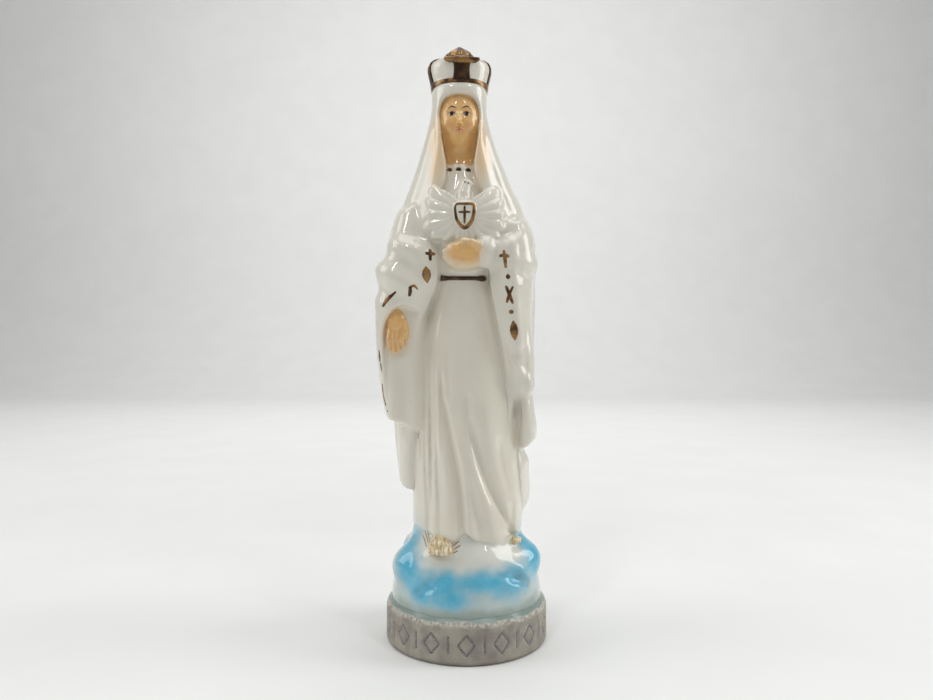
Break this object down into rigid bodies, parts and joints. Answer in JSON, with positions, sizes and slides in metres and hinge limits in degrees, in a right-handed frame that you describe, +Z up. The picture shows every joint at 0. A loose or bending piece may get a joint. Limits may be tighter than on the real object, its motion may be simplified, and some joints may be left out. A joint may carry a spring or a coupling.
{
  "type": "madonna statue",
  "caption": "Hollow glazed porcelain statuette of a robed and crowned woman with a bird relief on her breast, standing on a cloud and a round plinth.",
  "frame": {"origin": "on the standing surface, under the middle of the whole figure", "axes": "+Z up, -Y the figure's front, +X the figure's left hand"},
  "size_m": [0.0572, 0.054, 0.1999],
  "materials": {
    "porcelain": "glossy clear glaze over warm white porcelain",
    "cloud_glaze": "glossy glaze with sky-blue spray fading to white",
    "skin_glaze": "glossy glaze over sprayed beige",
    "foot_glaze": "glossy glaze over sprayed brown-beige",
    "bisque": "matt unglazed grey body, a little stained",
    "gilding": "dark burnished gold lustre fired over the glaze"
  },
  "bodies": {
    "root": {"plinth": "bisque", "cloud": "cloud_glaze", "right_foot": "foot_glaze", "left_foot": "foot_glaze", "robe_skirt": "porcelain", "robe_bodice": "porcelain", "belt": "gilding", "mantle": "porcelain", "mantle_hood": "porcelain", "right_drape": "porcelain", "right_sleeve": "porcelain", "left_drape": "porcelain", "left_lappet": "porcelain", "left_fall": "porcelain", "right_hand": "skin_glaze", "left_hand": "skin_glaze", "head": "skin_glaze", "bird_body": "porcelain", "bird_head": "porcelain", "bird_left_wing": "porcelain", "bird_right_wing": "porcelain", "shield": "porcelain", "shield_cross": "gilding", "crown_band": "gilding", "crown_cap": "porcelain", "crown_strap_front": "gilding", "crown_strap_left": "gilding", "crown_strap_back": "gilding", "crown_strap_right": "gilding", "crown_crest": "gilding", "crown_knob": "gilding"}
  },
  "joints": []
}
